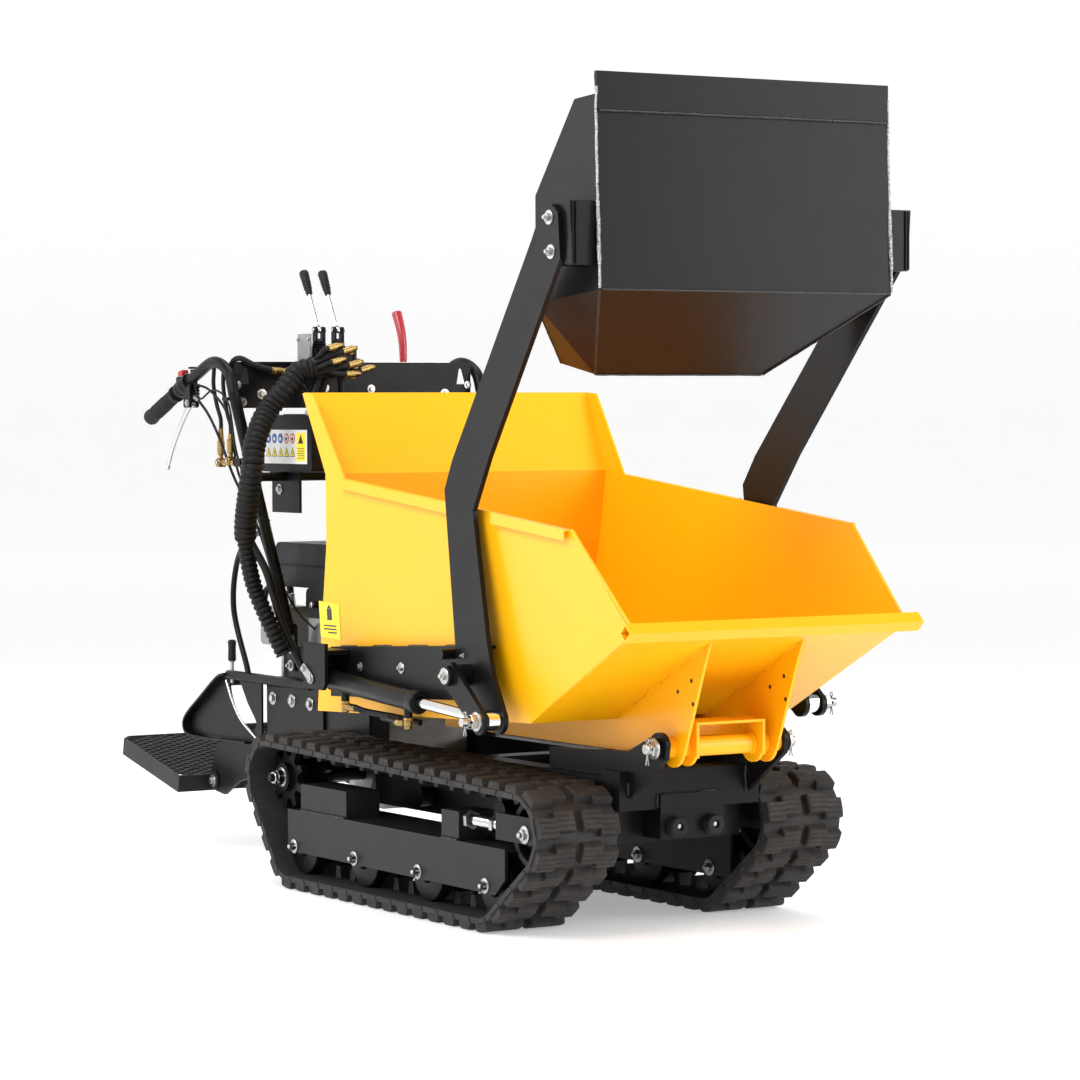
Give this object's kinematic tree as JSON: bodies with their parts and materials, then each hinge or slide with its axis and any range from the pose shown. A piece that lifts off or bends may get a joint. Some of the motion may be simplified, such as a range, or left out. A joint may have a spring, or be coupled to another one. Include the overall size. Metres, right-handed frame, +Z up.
{
  "type": "power wheelbarrow",
  "caption": "Walk-behind tracked power wheelbarrow with a hydraulic tipping skip, a self-loading shovel on two arms, and a fold-up rider's step.",
  "frame": {"origin": "centre of the bounding box at ground level", "axes": "+X across the machine to the operator's left, +Y from the skip back to the operator, +Z up"},
  "size_m": [0.866, 2.3278, 1.606],
  "materials": {
    "yellow_paint": "signal yellow gloss powder coat",
    "black_paint": "black satin powder coat",
    "charcoal_paint": "charcoal satin powder coat",
    "track_rubber": "dusty moulded rubber",
    "soft_rubber": "matt rubber",
    "black_plastic": "fine-grained black",
    "red_plastic": "glossy red",
    "hard_chrome": "polished",
    "cast_aluminium": "as cast, dull"
  },
  "bodies": {
    "chassis": {"chassis_frame": "black_paint", "rear_frame": "black_paint", "engine_deck": "black_paint", "engine_block": "cast_aluminium", "fuel_tank": "black_plastic", "recoil_cover": "black_paint", "air_filter": "black_plastic", "muffler": "cast_aluminium", "gearbox": "cast_aluminium", "hydraulic_pump": "cast_aluminium", "hydraulic_tank": "black_paint", "tank_cradle": "black_paint", "control_console": "black_paint", "control_valve": "cast_aluminium", "hose_sleeve": "black_plastic", "track_belt_right": "track_rubber", "track_belt_left": "track_rubber", "roller_frame_right": "charcoal_paint", "roller_frame_left": "charcoal_paint", "track_tensioner_right": "black_paint", "track_tensioner_left": "black_paint", "front_bumper_right": "soft_rubber", "front_bumper_left": "soft_rubber", "handlebar_right": "black_paint", "handlebar_left": "black_paint", "hand_grip_right": "soft_rubber", "hand_grip_left": "soft_rubber"},
    "skip": {"skip_body": "yellow_paint", "skip_subframe": "yellow_paint", "arm_mount_right": "black_paint", "arm_mount_left": "black_paint"},
    "arms": {"loading_arm_right": "black_paint", "loading_arm_left": "black_paint", "shovel": "charcoal_paint"},
    "lift_barrel_right_body": {"lift_barrel_right": "black_paint"},
    "lift_rod_right_body": {"lift_rod_right": "hard_chrome"},
    "lift_barrel_left_body": {"lift_barrel_left": "black_paint"},
    "lift_rod_left_body": {"lift_rod_left": "hard_chrome"},
    "tip_barrel_body": {"tip_barrel": "black_paint"},
    "tip_rod_body": {"tip_rod": "hard_chrome"},
    "sprocket_right": {"drive_sprocket_right": "black_paint"},
    "idler_right": {"idler_wheel_right": "black_paint"},
    "roller_right_1_body": {"roller_right_1": "black_paint"},
    "roller_right_2_body": {"roller_right_2": "black_paint"},
    "roller_right_3_body": {"roller_right_3": "black_paint"},
    "roller_right_4_body": {"roller_right_4": "black_paint"},
    "sprocket_left": {"drive_sprocket_left": "black_paint"},
    "idler_left": {"idler_wheel_left": "black_paint"},
    "roller_left_1_body": {"roller_left_1": "black_paint"},
    "roller_left_2_body": {"roller_left_2": "black_paint"},
    "roller_left_3_body": {"roller_left_3": "black_paint"},
    "roller_left_4_body": {"roller_left_4": "black_paint"},
    "step": {"step_platform": "charcoal_paint"},
    "brake_right": {"brake_lever_right": "hard_chrome"},
    "brake_left": {"brake_lever_left": "hard_chrome"},
    "valve_lever_1_body": {"valve_lever_1": "black_plastic"},
    "valve_lever_2_body": {"valve_lever_2": "black_plastic"},
    "drive_lever_body": {"drive_lever": "red_plastic"},
    "throttle_lever_body": {"throttle_lever": "black_plastic"},
    "kill_switch_body": {"kill_switch": "red_plastic"}
  },
  "joints": [
    {"name": "skip_tip", "type": "hinge", "parent": "chassis", "child": "skip", "pos_m": [0, -0.96624, 0.364], "axis": [1, 0, 0], "range_deg": [0, 60]},
    {"name": "arm_lift", "type": "hinge", "parent": "skip", "child": "arms", "pos_m": [0, -0.63724, 0.491], "axis": [1, 0, 0], "range_deg": [0, 94]},
    {"name": "lift_barrel_swing_right", "type": "hinge", "parent": "skip", "child": "lift_barrel_right_body", "pos_m": [-0.37, -0.09524, 0.453], "axis": [1, 0, 0], "range_deg": [0, 4]},
    {"name": "lift_rod_stroke_right", "type": "slide", "parent": "lift_barrel_right_body", "child": "lift_rod_right_body", "axis": [0, -0.9979, -0.0648], "range_m": [-0.19, 0]},
    {"name": "lift_barrel_swing_left", "type": "hinge", "parent": "skip", "child": "lift_barrel_left_body", "pos_m": [0.37, -0.09524, 0.453], "axis": [1, 0, 0], "range_deg": [0, 4]},
    {"name": "lift_rod_stroke_left", "type": "slide", "parent": "lift_barrel_left_body", "child": "lift_rod_left_body", "axis": [0, -0.9979, -0.0648], "range_m": [-0.19, 0]},
    {"name": "tip_barrel_swing", "type": "hinge", "parent": "chassis", "child": "tip_barrel_body", "pos_m": [0, -0.32524, 0.215], "axis": [1, 0, 0], "range_deg": [-14.2, 0]},
    {"name": "tip_rod_stroke", "type": "slide", "parent": "tip_barrel_body", "child": "tip_rod_body", "axis": [0, -0.9456, 0.3252], "range_m": [0, 0.193]},
    {"name": "sprocket_spin_right", "type": "hinge", "parent": "chassis", "child": "sprocket_right", "pos_m": [-0.259, 0.21076, 0.223], "axis": [1, 0, 0], "continuous": true},
    {"name": "idler_spin_right", "type": "hinge", "parent": "chassis", "child": "idler_right", "pos_m": [-0.259, -0.79324, 0.198], "axis": [1, 0, 0], "continuous": true},
    {"name": "roller_spin_right_1", "type": "hinge", "parent": "chassis", "child": "roller_right_1_body", "pos_m": [-0.259, -0.65624, 0.088], "axis": [1, 0, 0], "continuous": true},
    {"name": "roller_spin_right_2", "type": "hinge", "parent": "chassis", "child": "roller_right_2_body", "pos_m": [-0.259, -0.39924, 0.088], "axis": [1, 0, 0], "continuous": true},
    {"name": "roller_spin_right_3", "type": "hinge", "parent": "chassis", "child": "roller_right_3_body", "pos_m": [-0.259, -0.14224, 0.088], "axis": [1, 0, 0], "continuous": true},
    {"name": "roller_spin_right_4", "type": "hinge", "parent": "chassis", "child": "roller_right_4_body", "pos_m": [-0.259, 0.11476, 0.088], "axis": [1, 0, 0], "continuous": true},
    {"name": "sprocket_spin_left", "type": "hinge", "parent": "chassis", "child": "sprocket_left", "pos_m": [0.259, 0.21076, 0.223], "axis": [1, 0, 0], "continuous": true},
    {"name": "idler_spin_left", "type": "hinge", "parent": "chassis", "child": "idler_left", "pos_m": [0.259, -0.79324, 0.198], "axis": [1, 0, 0], "continuous": true},
    {"name": "roller_spin_left_1", "type": "hinge", "parent": "chassis", "child": "roller_left_1_body", "pos_m": [0.259, -0.65624, 0.088], "axis": [1, 0, 0], "continuous": true},
    {"name": "roller_spin_left_2", "type": "hinge", "parent": "chassis", "child": "roller_left_2_body", "pos_m": [0.259, -0.39924, 0.088], "axis": [1, 0, 0], "continuous": true},
    {"name": "roller_spin_left_3", "type": "hinge", "parent": "chassis", "child": "roller_left_3_body", "pos_m": [0.259, -0.14224, 0.088], "axis": [1, 0, 0], "continuous": true},
    {"name": "roller_spin_left_4", "type": "hinge", "parent": "chassis", "child": "roller_left_4_body", "pos_m": [0.259, 0.11476, 0.088], "axis": [1, 0, 0], "continuous": true},
    {"name": "step_fold", "type": "hinge", "parent": "chassis", "child": "step", "pos_m": [0, 0.78976, 0.16], "axis": [1, 0, 0], "range_deg": [0, 15]},
    {"name": "brake_squeeze_right", "type": "hinge", "parent": "chassis", "child": "brake_right", "pos_m": [-0.31, 0.61476, 1.012], "axis": [1, 0, 0], "range_deg": [0, 24], "stiffness_Nm_per_rad": 2},
    {"name": "brake_squeeze_left", "type": "hinge", "parent": "chassis", "child": "brake_left", "pos_m": [0.31, 0.61476, 1.012], "axis": [1, 0, 0], "range_deg": [0, 24], "stiffness_Nm_per_rad": 2},
    {"name": "valve_tilt_1", "type": "hinge", "parent": "chassis", "child": "valve_lever_1_body", "pos_m": [-0.117, 0.38676, 1.168], "axis": [1, 0, 0], "range_deg": [-15, 15], "stiffness_Nm_per_rad": 3},
    {"name": "valve_tilt_2", "type": "hinge", "parent": "chassis", "child": "valve_lever_2_body", "pos_m": [-0.071, 0.38676, 1.168], "axis": [1, 0, 0], "range_deg": [-15, 15], "stiffness_Nm_per_rad": 3},
    {"name": "drive_shift", "type": "hinge", "parent": "chassis", "child": "drive_lever_body", "pos_m": [0.136, 0.46676, 1.06], "axis": [-1, 0, 0], "range_deg": [0, 25]},
    {"name": "throttle_swing", "type": "hinge", "parent": "chassis", "child": "throttle_lever_body", "pos_m": [-0.31, 0.60676, 1.086], "axis": [0, 0, 1], "range_deg": [0, 60]},
    {"name": "kill_switch_slide", "type": "slide", "parent": "chassis", "child": "kill_switch_body", "axis": [0, 1, 0], "range_m": [0, 0.005]}
  ],
  "couplings": [
    {"joint": "lift_barrel_swing_right", "follows": "arm_lift", "ratio": 0.0418},
    {"joint": "lift_rod_stroke_right", "follows": "arm_lift", "m_per_rad": -0.1154},
    {"joint": "lift_barrel_swing_left", "follows": "arm_lift", "ratio": 0.0418},
    {"joint": "lift_rod_stroke_left", "follows": "arm_lift", "m_per_rad": -0.1154},
    {"joint": "tip_barrel_swing", "follows": "skip_tip", "ratio": -0.235},
    {"joint": "tip_rod_stroke", "follows": "skip_tip", "m_per_rad": 0.1834}
  ]
}
